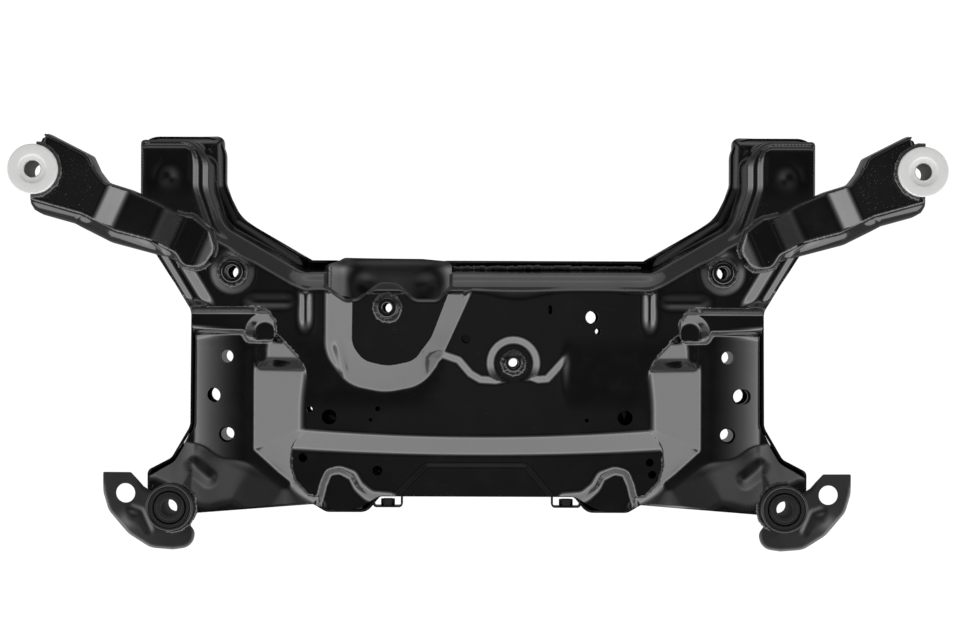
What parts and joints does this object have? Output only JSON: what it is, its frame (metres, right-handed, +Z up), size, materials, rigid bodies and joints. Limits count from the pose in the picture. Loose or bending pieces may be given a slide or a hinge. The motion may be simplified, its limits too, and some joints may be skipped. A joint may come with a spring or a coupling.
{
  "type": "front subframe",
  "caption": "Welded sheet-steel front subframe: boxed centre, two front legs, two raised front mount arms and bushed rear corner mounts.",
  "frame": {"origin": "under the middle of the whole part, level with the undersides of the side tubs", "axes": "+X across the car, +Y to the front bumper, +Z up"},
  "size_m": [0.9726, 0.45, 0.165],
  "materials": {
    "black_paint": "gloss",
    "white_nylon": "satin",
    "bare_steel": "serrated",
    "dark_steel": "satin",
    "black_rubber": "matte"
  },
  "bodies": {
    "root": {"upper_shell": "black_paint", "lower_shell": "black_paint", "side_tub_right": "black_paint", "side_tub_left": "black_paint", "mount_arm_upper_right": "black_paint", "mount_arm_upper_left": "black_paint", "mount_arm_lower_right": "black_paint", "mount_arm_lower_left": "black_paint", "front_mount_tube_right": "black_paint", "front_mount_tube_left": "black_paint", "front_mount_bush_right": "white_nylon", "front_mount_bush_left": "white_nylon", "front_mount_sleeve_right": "bare_steel", "front_mount_sleeve_left": "bare_steel", "rear_mount_tube_right": "black_paint", "rear_mount_tube_left": "black_paint", "rear_mount_rubber_right": "black_rubber", "rear_mount_rubber_left": "black_rubber", "rear_mount_sleeve_right": "dark_steel", "rear_mount_sleeve_left": "dark_steel", "rear_bracket_right": "black_paint", "rear_bracket_left": "black_paint", "rack_boss_right": "black_paint", "rack_boss_left": "black_paint", "restrictor_boss": "black_paint", "centre_boss": "black_paint", "front_spacer_right": "black_paint", "front_spacer_left": "black_paint", "rear_spacer_right": "black_paint", "rear_spacer_left": "black_paint", "pivot_ring_right": "black_paint", "pivot_ring_left": "black_paint", "rear_clip_right": "black_paint", "rear_clip_left": "black_paint", "rear_clip_nut_right": "dark_steel", "rear_clip_nut_left": "dark_steel"}
  },
  "joints": []
}
